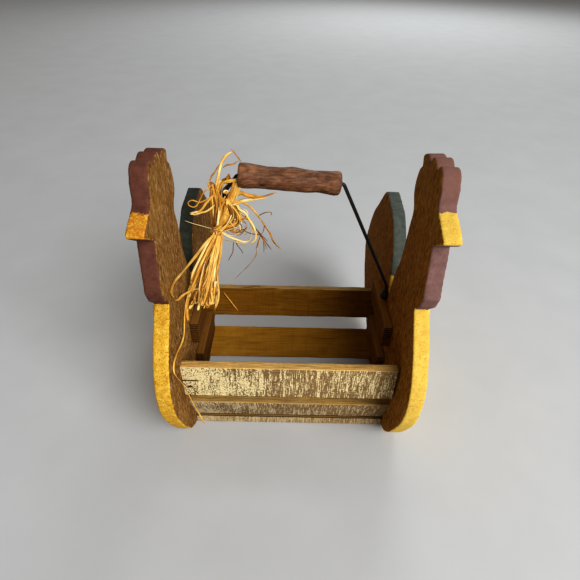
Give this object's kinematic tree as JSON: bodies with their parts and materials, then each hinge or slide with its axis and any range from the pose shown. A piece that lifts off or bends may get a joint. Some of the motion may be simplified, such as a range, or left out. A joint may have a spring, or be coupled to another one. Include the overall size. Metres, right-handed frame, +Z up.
{
  "type": "rooster basket",
  "caption": "Country-style wooden basket planter with rooster-shaped ends, an open slatted trough, a swinging wire bail, a wooden grip and a raffia bow.",
  "frame": {"origin": "centre of the bounding box's bottom face, on the surface that the two end boards stand on", "axes": "+X from the left end board to the right one as seen from the front, the roosters face -Y, +Z up"},
  "size_m": [0.189, 0.2302, 0.242],
  "materials": {
    "board_wood": "brown-stained softwood with painted, speckled edges",
    "slat_whitewash": "worn cream whitewash over rough-sawn brown wood",
    "slat_stain": "amber-brown stained rough-sawn wood",
    "grip_wood": "reddish brown, mottled and lightly polished",
    "black_wire": "black annealed steel wire",
    "screw_steel": "dull dark steel",
    "nail_steel": "dull steel",
    "raffia": "dry straw-coloured fibre with a slight sheen"
  },
  "bodies": {
    "crate": {"rooster_left": "board_wood", "rooster_right": "board_wood", "front_slat_upper": "slat_whitewash", "front_slat_lower": "slat_whitewash", "bottom_slat_front": "slat_whitewash", "bottom_slat_back": "slat_stain", "back_slat_upper": "slat_stain", "back_slat_lower": "slat_stain", "end_cleat_upper_left": "slat_stain", "end_cleat_upper_right": "slat_stain", "end_cleat_lower_left": "slat_stain", "end_cleat_lower_right": "slat_stain", "slat_nails_left": "nail_steel", "slat_nails_right": "nail_steel", "cleat_nails_left": "nail_steel", "cleat_nails_right": "nail_steel", "pivot_screw_left": "screw_steel", "pivot_screw_right": "screw_steel"},
    "bail": {"bail_wire": "black_wire", "raffia_wrap": "raffia", "raffia_knot": "raffia", "raffia_tassel": "raffia", "raffia_bow": "raffia", "raffia_side_loop": "raffia", "raffia_long_strand": "raffia"},
    "grip": {"bail_grip": "grip_wood"}
  },
  "joints": [
    {"name": "bail_swing", "type": "hinge", "parent": "crate", "child": "bail", "pos_m": [0, -0.01, 0.1025], "axis": [1, 0, 0], "range_deg": [-90, 90], "deforming": ["raffia_side_loop", "raffia_long_strand"]},
    {"name": "grip_spin", "type": "hinge", "parent": "bail", "child": "grip", "pos_m": [-0.0026, -0.01, 0.207], "axis": [0.9978, 0, -0.0663], "continuous": true}
  ]
}
